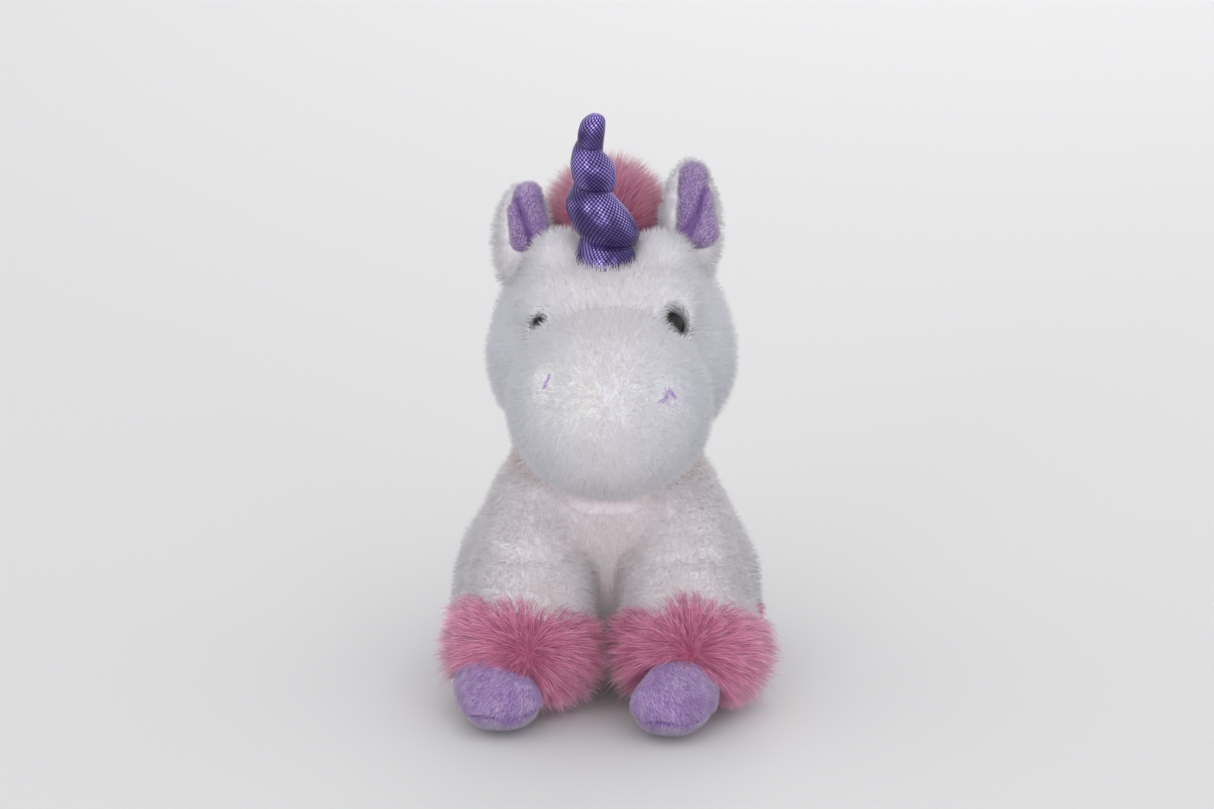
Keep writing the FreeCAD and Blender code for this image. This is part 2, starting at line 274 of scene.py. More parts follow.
def tufted(roots, tips, every, pull):
    """Pulls hair tips together in tufts of about every hairs."""
    number = max(len(roots) // every, 1)
    seeds = RNG.choice(len(roots), number, replace=False)
    home, away = roots[seeds], tips[seeds]
    nearest = np.empty(len(roots), int)
    for start in range(0, len(roots), 4000):
        block = roots[start : start + 4000]
        apart = (block * block).sum(1)[:, None] - 2 * block @ home.T + (home * home).sum(1)[None]
        nearest[start : start + 4000] = apart.argmin(1)
    share = (pull * (0.6 + 0.8 * RNG.random(len(roots))))[:, None]
    return tips + (away[nearest] - tips) * np.clip(share, 0, 0.9)


def hairs(name, roots, normals, lift, bend, thick, rings, tint, soft):
    """Closed three-sided tapering hairs. lift is where each tip would be if straight, and bend
    how far it has curved from there. soft is how far the hairs take the shading of the surface.
    UV x is the tint and UV y runs from root to tip."""
    number = len(roots)
    forward = unit(lift)
    side = unit(np.cross(forward, unit(RNG.normal(size=(number, 3)))))
    other = np.cross(forward, side)
    angles = [turn * 2 * math.pi / 3 for turn in range(3)]
    corners = [side * math.cos(angle) + other * math.sin(angle) for angle in angles]
    rows, row_normals, row_uv = [], [], []
    for ring in range(rings + 1):
        t = ring / rings
        centre = roots + lift * t + bend * t * t
        if ring == rings:
            rows.append(centre[:, None])
            row_normals.append(unit(normals * soft + forward * 0.3)[:, None])
            row_uv.append(np.stack([tint, np.full(number, 0.99)], 1)[:, None])
            continue
        radius = (thick * (1 - t) ** 0.7)[:, None]
        for corner in corners:
            rows.append((centre + corner * radius)[:, None])
            row_normals.append(unit(normals * soft + corner * (1 - soft))[:, None])
            row_uv.append(np.stack([tint, np.full(number, 0.01 + 0.98 * t)], 1)[:, None])
    points = np.concatenate(rows, 1)
    per_hair = points.shape[1]
    pattern = [(0, 2, 1)]
    for ring in range(rings - 1):
        low, high = ring * 3, ring * 3 + 3
        for k in range(3):
            n = (k + 1) % 3
            pattern += [(low + k, low + n, high + n), (low + k, high + n, high + k)]
    low = (rings - 1) * 3
    pattern += [(low + k, low + (k + 1) % 3, rings * 3) for k in range(3)]
    pattern = np.array(pattern)
    faces = (np.arange(number) * per_hair)[:, None, None] + pattern[None]
    faces = faces.reshape(-1, 3)
    obj = build_mesh(name, points.reshape(-1, 3), faces)
    add_uv(obj, np.concatenate(row_uv, 1).reshape(-1, 2)[faces])
    shading = np.concatenate(row_normals, 1).reshape(-1, 3)
    obj.data.normals_split_custom_set_from_vertices(shading.astype(np.float32))
    return obj


# ---- materials


def new_material(name):
    material = bpy.data.materials.new(name)
    material.use_nodes = True
    nodes, links = material.node_tree.nodes, material.node_tree.links
    shader = next(n for n in nodes if n.type == "BSDF_PRINCIPLED")
    return material, nodes, links, shader


def fill_in(node, values):
    """Sets a node's inputs by name."""
    for name, value in values.items():
        node.inputs[name].default_value = value


def object_noise(nodes, links, scale, detail=2.0):
    """Noise in the object's own space."""
    place = nodes.new("ShaderNodeTexCoord")
    noise = nodes.new("ShaderNodeTexNoise")
    fill_in(noise, {"Scale": scale, "Detail": detail})
    links.new(place.outputs["Object"], noise.inputs["Vector"])
    return noise.outputs["Fac"]


def ramp(nodes, links, source, stops):
    node = nodes.new("ShaderNodeValToRGB")
    while len(node.color_ramp.elements) < len(stops):
        node.color_ramp.elements.new(0.5)
    for element, (place, colour) in zip(node.color_ramp.elements, stops):
        element.position = place
        element.color = (*colour, 1)
    links.new(source, node.inputs["Fac"])
    return node.outputs["Color"]


def multiply(nodes, links, first, second):
    node = nodes.new("ShaderNodeMix")
    node.data_type = "RGBA"
    node.blend_type = "MULTIPLY"
    node.inputs["Factor"].default_value = 1.0
    links.new(first, node.inputs["A"])
    links.new(second, node.inputs["B"])
    return node.outputs["Result"]


def sheet_place(nodes, links):
    """The two coordinates of the UV layer."""
    uv = nodes.new("ShaderNodeUVMap")
    uv.uv_map = "OFBake"
    split = nodes.new("ShaderNodeSeparateXYZ")
    links.new(uv.outputs["UV"], split.inputs["Vector"])
    return split.outputs["X"], split.outputs["Y"]


def hair_material(name, tints, root, tip, roughness, sheen, spread, fade=None):
    """Hair colour: tints along UV x, painted root shade to tip highlight along UV y, and a change per hair.
    """
    material, nodes, links, shader = new_material(name)
    tint_place, length_place = sheet_place(nodes, links)
    tint = ramp(nodes, links, tint_place, tints)
    # Darker roots are painted shade deep in the pile, brighter tips a painted highlight.
    along = ramp(nodes, links, length_place, [(0.0, (root,) * 3), (1.0, (tip,) * 3)])
    noise = nodes.new("ShaderNodeTexWhiteNoise")
    noise.noise_dimensions = "1D"
    scale = nodes.new("ShaderNodeMath")
    scale.operation = "MULTIPLY"
    scale.inputs[1].default_value = 731.0
    links.new(tint_place, scale.inputs[0])
    links.new(scale.outputs[0], noise.inputs["W"])
    each = ramp(nodes, links, noise.outputs["Value"], [(0.0, (1 - spread,) * 3), (1.0, (1.0,) * 3)])
    if fade:
        share = ramp(nodes, links, length_place, [(0.55, (0,) * 3), (1.0, (0.7,) * 3)])
        mixed = nodes.new("ShaderNodeMix")
        mixed.data_type = "RGBA"
        links.new(share, mixed.inputs["Factor"])
        links.new(tint, mixed.inputs["A"])
        mixed.inputs["B"].default_value = (*fade, 1)
        tint = mixed.outputs["Result"]
    colour = multiply(nodes, links, multiply(nodes, links, tint, along), each)
    links.new(colour, shader.inputs["Base Color"])
    fill_in(shader, {"Roughness": roughness, "Specular IOR Level": 0.25, "Sheen Weight": sheen,
                     "Sheen Roughness": 0.5})
    return material


def cloth_material(name, low, high, scale=900.0, bump=0.25, roughness=0.85, sheen=0.4, dark=()):
    """Knit backing or very short pile: two tones and a fine bump. It darkens near each dark point,
    fully within one distance and not at all beyond another."""
    material, nodes, links, shader = new_material(name)
    broad = object_noise(nodes, links, scale / 6, 5)
    fine = object_noise(nodes, links, scale, 3)
    colour = ramp(nodes, links, broad, [(0.35, low), (0.65, high)])
    place = nodes.new("ShaderNodeTexCoord")
    for spot, near, far in dark:
        apart = nodes.new("ShaderNodeVectorMath")
        apart.operation = "DISTANCE"
        apart.inputs[1].default_value = spot * MM
        links.new(place.outputs["Object"], apart.inputs[0])
        shade = nodes.new("ShaderNodeMapRange")
        fill_in(shade, {"From Min": near * MM, "From Max": far * MM, "To Min": 0.03})
        links.new(apart.outputs["Value"], shade.inputs["Value"])
        colour = multiply(nodes, links, colour, shade.outputs[0])
    links.new(colour, shader.inputs["Base Color"])
    raised = nodes.new("ShaderNodeBump")
    fill_in(raised, {"Strength": bump, "Distance": 0.0006})
    links.new(fine, raised.inputs["Height"])
    links.new(raised.outputs["Normal"], shader.inputs["Normal"])
    fill_in(shader, {"Roughness": roughness, "Specular IOR Level": 0.2, "Sheen Weight": sheen,
                     "Sheen Roughness": 0.45})
    return material


SHEET = 130.0  # millimetres of foil cloth across its whole pattern
FOIL_DEEP = (0.09, 0.05, 0.31)
# The bright end of the dots' colour: painted highlight, laid in broad patches by noise.
FOIL_PAINTED_HIGHLIGHT = (0.44, 0.31, 1.0)
FOIL_GAP = (0.006, 0.003, 0.022)


def foil_material(name, pitch):
    """Metallic purple foil cloth: bright dots in slanting rows between dark gaps, with broad patches of
    painted highlight.
    """
    material, nodes, links, shader = new_material(name)
    across, up = sheet_place(nodes, links)

    def maths(kind, *values):
        node = nodes.new("ShaderNodeMath")
        node.operation = kind
        for socket, value in zip(node.inputs, values):
            if isinstance(value, float):
                socket.default_value = value
            else:
                links.new(value, socket)
        return node.outputs[0]

    def wave(kind):
        turns = maths("MULTIPLY", maths(kind, across, up), math.pi * SHEET / (math.sqrt(2) * pitch))
        return maths("ABSOLUTE", maths("SINE", turns))

    dots = maths("MULTIPLY", wave("ADD"), wave("SUBTRACT"))
    mask = nodes.new("ShaderNodeMapRange")
    mask.interpolation_type = "SMOOTHSTEP"
    fill_in(mask, {"From Min": 0.38, "From Max": 0.58})
    links.new(dots, mask.inputs["Value"])
    # Broad patches from deep to bright purple on the dots: painted highlights.
    broad = object_noise(nodes, links, 60)
    foil = ramp(nodes, links, broad, [(0.42, FOIL_DEEP), (0.62, FOIL_PAINTED_HIGHLIGHT)])
    colour = nodes.new("ShaderNodeMix")
    colour.data_type = "RGBA"
    links.new(mask.outputs[0], colour.inputs["Factor"])
    colour.inputs["A"].default_value = (*FOIL_GAP, 1)
    links.new(foil, colour.inputs["B"])
    links.new(colour.outputs["Result"], shader.inputs["Base Color"])
    rough = nodes.new("ShaderNodeMapRange")
    fill_in(rough, {"To Min": 0.7, "To Max": 0.25})
    links.new(mask.outputs[0], rough.inputs["Value"])
    links.new(rough.outputs[0], shader.inputs["Roughness"])
    fill_in(shader, {"Metallic": 0.7, "Coat Weight": 0.5, "Coat Roughness": 0.22})
    return material


def gloss_material(name, colour, roughness, coat):
    """Smooth plastic with a faint mottle."""
    material, nodes, links, shader = new_material(name)
    lighter = tuple(c * 1.4 for c in colour)
    tone = ramp(nodes, links, object_noise(nodes, links, 400), [(0.3, colour), (0.7, lighter)])
    links.new(tone, shader.inputs["Base Color"])
    fill_in(shader, {"Roughness": roughness, "Specular IOR Level": 0.3, "Coat Weight": coat})
    return material


# Each pile's root and tip numbers paint shade at the roots and highlight at the tips.
WHITE = hair_material(
    "white_pile",
    [(0.0, (0.72, 0.77, 0.87)), (0.4, (0.87, 0.84, 0.89)), (0.8, (0.96, 0.81, 0.82)),
     # Tints 0.83 to 1.0 run from grey to near black: painted shade round the eyes.
     (0.83, (0.5, 0.48, 0.52)), (1.0, (0.03, 0.03, 0.035))],
    0.93, 1.0, roughness=0.9, sheen=0.3, spread=0.05,
)
PINK = hair_material(
    "pink_pile",
    [(0.0, (0.58, 0.07, 0.17)), (0.5, (0.98, 0.31, 0.55)), (1.0, (1.0, 0.62, 0.80))],
    0.40, 1.15, roughness=0.7, sheen=0.3, spread=0.42, fade=(0.95, 0.74, 0.80),
)
LILAC = hair_material(
    "lilac_pile",
    [(0.0, (0.30, 0.17, 0.43)), (0.5, (0.66, 0.44, 0.84)), (1.0, (0.92, 0.78, 1.0))],
    0.55, 1.2, roughness=0.8, sheen=0.4, spread=0.35,
)
WHITE_CLOTH = cloth_material("white_backing", (0.82, 0.79, 0.84), (0.88, 0.84, 0.88))
# The pink and lilac backings are darker than their piles: painted shade in the gaps between hairs, and on
# the hooves along the bare sole seam.
PINK_CLOTH = cloth_material("pink_backing", (0.38, 0.07, 0.14), (0.52, 0.14, 0.25))
LILAC_CLOTH = cloth_material("lilac_velvet", (0.20, 0.11, 0.32), (0.30, 0.18, 0.46))
FOIL = foil_material("foil_cloth", 1.3)
THREAD = cloth_material("horn_thread", (0.03, 0.02, 0.09), (0.08, 0.05, 0.20), 2500, 0.5)
STITCH = cloth_material("stitch_thread", (0.36, 0.20, 0.58), (0.50, 0.32, 0.72), 2500, 0.5)
EYE_BLACK = gloss_material("eye_black", (0.004, 0.0035, 0.004), 0.3, 0.15)
FILLING = cloth_material("polyester_fibre", (0.75, 0.75, 0.74), (0.88, 0.88, 0.87), 1500, 0.6)
BAG_CLOTH = cloth_material("bag_weave", (0.60, 0.59, 0.55), (0.72, 0.70, 0.66), 2000, 0.5)
PELLETS = cloth_material("pellets", (0.65, 0.65, 0.64), (0.85, 0.85, 0.84), 700, 1.0, 0.4, 0.0)
WASHER = gloss_material("washer_plastic", (0.60, 0.60, 0.58), 0.4, 0.4)


# ---- pieces


def adopt(obj, body, node, slot, material):
    """Gives a new piece its material and its body, and hides the CAD node it stands for. slot is not used.
    """
    obj.data.materials.append(material)
    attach(obj, body)
    if node:
        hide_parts(node)


HAIR_OF = {"white_plush": WHITE, "pink_long_pile": PINK, "lilac_plush": LILAC, "lilac_sole_plush": LILAC,
           "lilac_thread": LILAC}
CLOTH_OF = {"white_plush": WHITE_CLOTH, "pink_long_pile": PINK_CLOTH, "lilac_plush": LILAC_CLOTH,
            "lilac_sole_plush": LILAC_CLOTH}


class Form:
    """A closed form under plush: the points and quads of its mesh, its body and its slot."""

    def __init__(self, name, body, node, slot, field, low, high, step, material=None):
        self.body, self.slot = body, slot
        self.points, self.quads = surface(field, low, high, step)
        obj = build_mesh(name, self.points, self.quads)
        adopt(obj, body, node, slot, material or CLOTH_OF[slot])


def jitter(number, amount):
    return amount * RNG.normal(size=(number, 3))


def on_floor(roots, lift, bend):
    """Keeps hairs off the floor: their tips stay at least a millimetre up."""
    tip = roots[:, 2] + lift[:, 2] + bend[:, 2]
    short = np.minimum(tip - (0.8 + 2 * RNG.random(len(roots))), 0)
    lift = lift.copy()
    lift[:, 2] -= short
    return lift


def clear_of(points, fields, margin):
    """Which points lie more than margin outside every field."""
    clear = np.ones(len(points), bool)
    for field in fields:
        clear &= field(points) > margin
    return clear


def grow(name, form, density, reach, flow, tint, thick, rings=1, slot=None,
         curl=None, keep=None, avoid=(), margin=0.0, outside=(), every=0, pull=0.0, soft=0.8, shadow=False):
    """Covers a form in hairs.

    density is hairs per square millimetre, reach gives each hair's length and flow its direction,
    tint its place on the material's colour ramp. thick is a radius and rings the number of
    segments. Roots stay where keep allows and more than margin clear of the avoid fields, and tips
    stay out of the outside fields. Tips are pulled together in tufts of about every hairs."""
    spots, normals = scattered(form.points, form.quads, density * DENSE, keep)
    clear = clear_of(spots, avoid, margin)
    spots, normals = spots[clear], normals[clear]
    number = len(spots)
    most = MOST_FACES // (6 * rings - 2)
    if number > most:
        kept = np.sort(RNG.permutation(number)[:most])
        spots, normals, number = spots[kept], normals[kept], most
    long = reach(spots) * (0.75 + 0.5 * RNG.random(number))
    lift = unit(flow(spots, normals)) * long[:, None]
    bend = np.zeros_like(lift) if curl is None else curl(spots, normals) * long[:, None]
    if every:
        lift = tufted(spots, spots + lift, every, pull) - spots
    lift = on_floor(spots, lift, bend)
    free = clear_of(spots + lift + bend, outside, 0)
    spots, normals, lift, bend = spots[free], normals[free], lift[free], bend[free]
    number = len(spots)
    shade = np.clip(tint(spots, normals) + 0.05 * RNG.normal(size=number), 0.02, 0.98)
    obj = hairs(name, spots, normals, lift, bend, thick * (0.7 + 0.6 * RNG.random(number)), rings,
                shade, soft)
    slot = slot or form.slot
    adopt(obj, form.body, None, slot, HAIR_OF[slot])
    obj.visible_shadow = shadow
    return obj


def even(value):
    return lambda spots, normals=None: np.full(len(spots), float(value))


def combed(spots, normals, pole, near):
    """Directions along the surface away from a pole, fading to nothing nearer than near."""
    away = spots - pole
    return (away - normals * (away * normals).sum(1)[:, None]) / (near + length(away))[:, None]


def nap(up, lean, amount):
    """Hairs along the normal, leaning one way, with some disorder."""
    lean = np.array(lean, float)
    return lambda spots, normals: normals * up + lean + jitter(len(spots), amount)


DENSE = 1.0
MOST_FACES = 190000  # in one pile
PLUSH = {"every": 45, "pull": 0.12, "soft": 0.97}
FACE_PLUSH = {"every": 45, "pull": 0.08, "soft": 0.97}
VELVET = {"every": 5, "pull": 0.4}

# ---- torso and neck

TORSO_HEIGHTS = (0, 12, 35, 60, 80, 97)
TORSO_MIDDLES = (0, -1, -4, -13, -23, -30)
TORSO_WIDTHS = (38, 48, 54.5, 53.5, 46.5, 41)
TORSO_DEPTHS = (39.5, 50.5, 56, 51, 44, 39)


def torso_field(p):
    """Seat, chest, shoulders and haunches in one smooth form."""
    side = folded(p)
    middle_y = curve(p[:, 2], TORSO_HEIGHTS, TORSO_MIDDLES)
    wide = curve(p[:, 2], TORSO_HEIGHTS, TORSO_WIDTHS)
    deep = curve(p[:, 2], TORSO_HEIGHTS, TORSO_DEPTHS)
    x, y = p[:, 0] / wide, (p[:, 1] - middle_y) / deep
    out = np.sqrt(x * x + y * y)
    d = out * (out - 1) / np.maximum(np.sqrt((x / wide) ** 2 + (y / deep) ** 2), 1e-9)
    d = smooth_max(d, p[:, 2] - 98.5, 16)
    shoulder = capsule(side, SHOULDER + [-1, 2, 4], SHOULDER + [4, -18, -10], 24, 23)
    haunch = ellipsoid(side, HIP + [-8, -2, 6], np.array([25, 31, 25.0]))
    d = smooth_min(smooth_min(d, shoulder, 10), haunch, 9)
    return smooth_max(d, 1.2 - p[:, 2], 4) - 0.6 * lumps(p, 17)


def neck_field(p):
    d = length(p - NECK) - 40.0
    return smooth_max(d, NECK[2] - 10 - p[:, 2], 4)


def leg_form(kind):
    """A left leg's root, ankle, radii at both, and how its section is squashed."""
    if kind == "front":
        return SHOULDER, np.array([38.0, -92.0, 29.5]), (22.0, 26.0), np.array([1.1, 1.0, 0.97])
    return HIP, np.array([51.0, -24.0, 21.0]), (19.5, 15.5), np.array([1.05, 1.0, 1.0])


def leg_field(side, kind):
    root, ankle, radii, squash = leg_form(kind)
    start = (root - ankle) / squash + ankle

    def field(p):
        q = (mirrored(p, side) - ankle) / squash + ankle
        return capsule(q, start, ankle, *radii) - 0.5 * lumps(p + side * 31, 15)

    return field


def hoof_place(side, kind):
    """Centre and radii of a hoof with its sole."""
    word = "left" if side > 0 else "right"
    low, high = node_box(f"{kind}_{word}_leg_hoof")
    low[2] = node_box(f"{kind}_{word}_leg_sole")[0][2]
    centre = (low + high) / 2
    if kind == "front":
        centre[0] += -10.5 if side > 0 else -7.5
        centre[1] += -5.0 if side > 0 else 1.0
    return centre, (high - low) / 2


def hoof_field(side, kind):
    """A rounded hoof, broader at the toe, with its toe turned in."""
    centre, radii = hoof_place(side, kind)
    turn = math.radians(-22 * side if kind == "front" else 0)
    cosine, sine = math.cos(turn), math.sin(turn)

    def field(p):
        q = p - centre
        q = np.stack([q[:, 0] * cosine - q[:, 1] * -sine, q[:, 1] * cosine + q[:, 0] * -sine, q[:, 2]], 1)
        toe = ellipsoid(q, np.array([0, -4, -2.2]), radii * [0.88, 0.80, 0.82])
        heel = ellipsoid(q, np.array([0, 8, 2.0]), radii * [0.74, 0.70, 0.78])
        d = smooth_min(toe, heel, 7) - 0.5 * lumps(p, 9)
        return smooth_max(d, 0.8 - p[:, 2], 4)

    return field, centre, radii


torso = Form("torso_plush", "torso", "torso_cover", "white_plush", torso_field,
             (-85, -105, -4), (85, 75, 110), 2.4)
neck = Form("neck_plush", "neck", "neck_cover", "white_plush", neck_field,
            (-50, -80, 70), (50, 20, 140), 2.4)


def chest_tint(spots, normals):
    """Rosy on the chest and the legs, whiter at the sides and the back, with a rosy band of painted shade
    under the muzzle.
    """
    chest = np.exp(-((spots[:, 0] / 45) ** 2) - ((spots[:, 2] - 80) / 36) ** 2)
    legs = np.exp(-(((np.abs(spots[:, 0]) - 30) / 22) ** 2) - ((spots[:, 2] - 52) / 20) ** 2)
    fork = 1.35 * np.exp(-((spots[:, 0] / 11) ** 2) - ((spots[:, 2] - 46) / 15) ** 2)
    # A rosy band at the top of the chest: painted shade under the muzzle.
    under_muzzle_shade = 1.35 * np.clip((spots[:, 2] - 90) / 5, 0, 1)
    front = np.clip((-10 - spots[:, 1]) / 25, 0, 1)
    return 0.36 + 0.30 * np.max([chest, legs, fork, under_muzzle_shade], 0) * front


front_legs = [leg_field(side, "front") for side in (-1, 1)]
hind_legs = [leg_field(side, "hind") for side in (-1, 1)]
grow("torso_pile", torso, 1.55, even(5.5), nap(1.0, (0, 0, -0.6), 0.3),
     chest_tint, 0.17, keep=lambda c: c[:, 2] > 2.5, avoid=[*front_legs, *hind_legs], margin=0.3, **PLUSH)
grow("neck_pile", neck, 1.5, even(5.5), nap(1.0, (0, 0, -0.6), 0.3),
     chest_tint, 0.17, keep=lambda c: c[:, 2] > 88, **PLUSH)

# ---- head


EYE_X, EYE_Z = 28.0, 173.5


def eye_spot(side):
    """Where an eye's dome meets the head, and the outward direction there."""
    spot = np.array([side * EYE_X, 0.0, EYE_Z])
    share = 1 - (EYE_X / SKULL_RADII[0]) ** 2 - ((EYE_Z - SKULL[2]) / SKULL_RADII[2]) ** 2
    spot[1] = SKULL[1] - SKULL_RADII[1] * math.sqrt(share)
    return spot, unit((spot - SKULL) / SKULL_RADII**2)


EYES = [eye_spot(1), eye_spot(-1)]
LEAN = np.array([2.0, 0, 0])
EYE_SHADES = [
    (EYES[0][0] + 3.0 * EYES[0][1] + [0.5, 0, -0.5], 5.5, 9.0),
    (EYES[1][0] + 4.5 * EYES[1][1], 2.0, 6.0),
]
HEAD_CLOTH = cloth_material("head_backing", (0.82, 0.79, 0.84), (0.88, 0.84, 0.88), dark=EYE_SHADES)
BLUE_CLOTH = cloth_material("muzzle_backing", (0.79, 0.80, 0.86), (0.86, 0.85, 0.90), dark=EYE_SHADES)


def eye_slit(p):
    """The narrow opening in the fur over the right eye."""
    spot, out = EYES[1]
    apex = spot + 4.0 * out
    return capsule(p, apex + [-2.0, 0, -1.6] + out, apex + [2.0, 0, 1.4] + out, 1.3, 1.8)


def eye_pit(p):
    """The open hollow in the fur round the left eye."""
    spot, out = EYES[0]
    return length(p - (spot + 8.5 * out)) - 9.4


def skull_form(p):
    side = folded(p - LEAN)
    skull = ellipsoid(p, SKULL + LEAN, np.array([50.0, 47.8, 43.0]))
    cheek = ellipsoid(side, SKULL + [25, -10, -10], np.array([25, 29, 27.0]))
    brow = ellipsoid(side, SKULL + [18, -24, 22], np.array([20, 20, 17.0]))
    lump = ellipsoid(side, SKULL + [22, -7, 36], np.array([12.5, 16, 13.0]))
    front = ellipsoid(p, SKULL + LEAN + [0, -30, 22], np.array([28, 17, 17.0]))
    d = smooth_min(smooth_min(skull, cheek, 10), smooth_min(brow, front, 8), 8)
    d = smooth_min(d, lump, 7)
    for (spot, out), rise in zip(EYES, (-0.6, 4.2)):
        d = smooth_min(d, length(p - (spot - (9.0 - rise) * out)) - 9.0, 4)
    return smooth_max(smooth_max(d - 0.6 * lumps(p, 14), -eye_slit(p), 1), -eye_pit(p), 1.5)


def muzzle_form(p):
    top = ellipsoid(p, MUZZLE + [1, 2, 0], np.array([41.0, 38.5, 37.0]))
    low = ellipsoid(p, MUZZLE + [1, 2, -8], np.array([38.0, 34, 29.5]))
    return smooth_min(top, low, 8) - 0.5 * lumps(p + 50, 14)


def face(p):
    """Skull and muzzle in one smooth form."""
    d = smooth_min(skull_form(p), muzzle_form(p), 15)
    return smooth_max(smooth_max(d, -eye_pit(p), 1.5), -eye_slit(p), 1)


def split(p):
    return muzzle_form(p) - skull_form(p)


def head_field(p):
    return smooth_max(face(p), -split(p), 1.0)


def muzzle_field(p):
    return smooth_max(face(p), split(p), 1.0)


head = Form("head_plush", "head", "head_cover", "white_plush", head_field,
            (-62, -110, 95), (64, 20, 210), 2.0, HEAD_CLOTH)
muzzle = Form("muzzle_plush", "head", "muzzle_cover", "white_plush", muzzle_field,
              (-60, -150, 90), (60, -40, 200), 2.0, BLUE_CLOTH)


def muzzle_surface(x, z):
    """The point on the muzzle's front at x and z."""
    low, high = -160.0, MUZZLE[1]
    for _ in range(40):
        y = (low + high) / 2
        if muzzle_field(np.array([[x, y, z]]))[0] > 0:
            low = y
        else:
            high = y
    return np.array([x, high, z])


NOSTRILS = {}
for word, shift in (("left", [1.0, 0, -5.0]), ("right", [-0.5, 0, 0])):
    centre = sum(node_box(f"nostril_{word}")) / 2 + shift
    NOSTRILS[word] = muzzle_surface(centre[0], centre[2])


def eye_distance(p):
    """How far outside the two openings in the fur a point lies."""
    return np.minimum(length(p - EYES[0][0]) - 6.9, eye_slit(p) - 0.4)


def nostril_distance(p):
    return np.minimum(*(length(p - spot) for spot in NOSTRILS.values()))


def face_reach(spots):
    near = np.minimum(eye_distance(spots) / 8 + 0.4, nostril_distance(spots) / 11 + 0.1)
    ears = np.exp(-((length(folded(spots) - [40, -34, 186]) / 13) ** 2))
    return 5.2 * np.clip(near, 0.4, 1) + 3.0 * ears


def face_flow(spots, normals):
    along = combed(spots, normals, MUZZLE + [0, -40, 10], 12)
    centres = np.where(spots[:, :1] > 0, EYES[0][0] + 3 * EYES[0][1], EYES[1][0] + 4 * EYES[1][1])
    inward = unit(centres - spots) * np.clip(1 - eye_distance(spots) / 3.5, 0, 1)[:, None]
    inward *= RNG.random((len(spots), 1))
    return normals + 0.6 * along + [0, 0, -0.25] + inward + jitter(len(spots), 0.25)


def face_tint(spots, normals):
    """Bluish at the muzzle's sides, faintly rosy in the middle, grey and black beside the eyes as painted
    shade.
    """
    rosy = np.exp(-((spots[:, 0] / 24) ** 2))
    tint = 0.20 + 0.24 * rosy
    forehead = np.clip((spots[:, 2] - 175) / 12, 0, 1)
    tint = tint * (1 - forehead) + (0.30 + 0.14 * rosy) * forehead
    apart = np.clip(eye_distance(spots), 0, 50)
    # Grey and near-black hairs at the eye openings: painted shade.
    tint = np.where(RNG.random(len(spots)) < 0.35 * np.exp(-((apart / 2.6) ** 2)), 0.87, tint)
    return np.where(RNG.random(len(spots)) < 0.85 * np.exp(-((apart / 1.6) ** 2)), 0.97, tint)


HORN_BASE = np.array([0.0, -57.0, 189.0])
HORN_AXIS = unit(np.array([math.sin(math.radians(-4)), -math.sin(math.radians(3)), 0.996]))
HORN_TALL = 74.5


def horn_room(p):
    q = p - HORN_BASE
    up = q @ HORN_AXIS
    return length(q - up[:, None] * HORN_AXIS) - 12.5 + np.maximum(up - 4, 0) * 0.12


grow("head_pile", head, 1.6, face_reach, face_flow, face_tint, 0.16,
     avoid=[horn_room, eye_distance, lambda p: muzzle_form(p) + 1, lambda p: neck_field(p) + 9],
     **FACE_PLUSH)
grow("muzzle_pile", muzzle, 1.9, face_reach, face_flow, face_tint, 0.16,
     avoid=[eye_distance, lambda p: nostril_distance(p) - 0.3, lambda p: skull_form(p) + 1],
     **FACE_PLUSH)
grow("nostril_pile", muzzle, 1.1, even(2.4),
     nap(0.6, (0, -0.3, -0.5), 0.3), even(0.6), 0.13, slot="lilac_thread", soft=0.9,
     keep=lambda c: nostril_distance(c) < 1.5 + 4.5 * RNG.random(len(c)))

# ---- legs


def radial(tip, up, out, amount):
    """Hairs that radiate over the surface away from a tip point."""

    def flow(spots, normals):
        return normals * up + combed(spots, normals, tip, 5) * out + jitter(len(spots), amount)

    return flow


def velvet_tint(middle_tint):
    """Uneven streaks, as where a finger has pushed the velvet about."""

    def tint(spots, normals):
        return middle_tint + 0.14 * lumps(spots * [1, 1, 0.4], 2.2) + 0.14 * lumps(spots, 8)

    return tint


CUFF_EDGE = {
    "front": (np.array([40.0, -105.0, 49.0]), unit(np.array([0.0, -0.37, -0.93]))),
    "hind": (np.array([55.0, -33.0, 27.0]), unit(np.array([0.15, -0.45, -0.88]))),
}
CUFF_POLE = {"front": np.array([35.2, -118.0, 33.0]), "hind": np.array([55.0, -42.0, 27.0])}


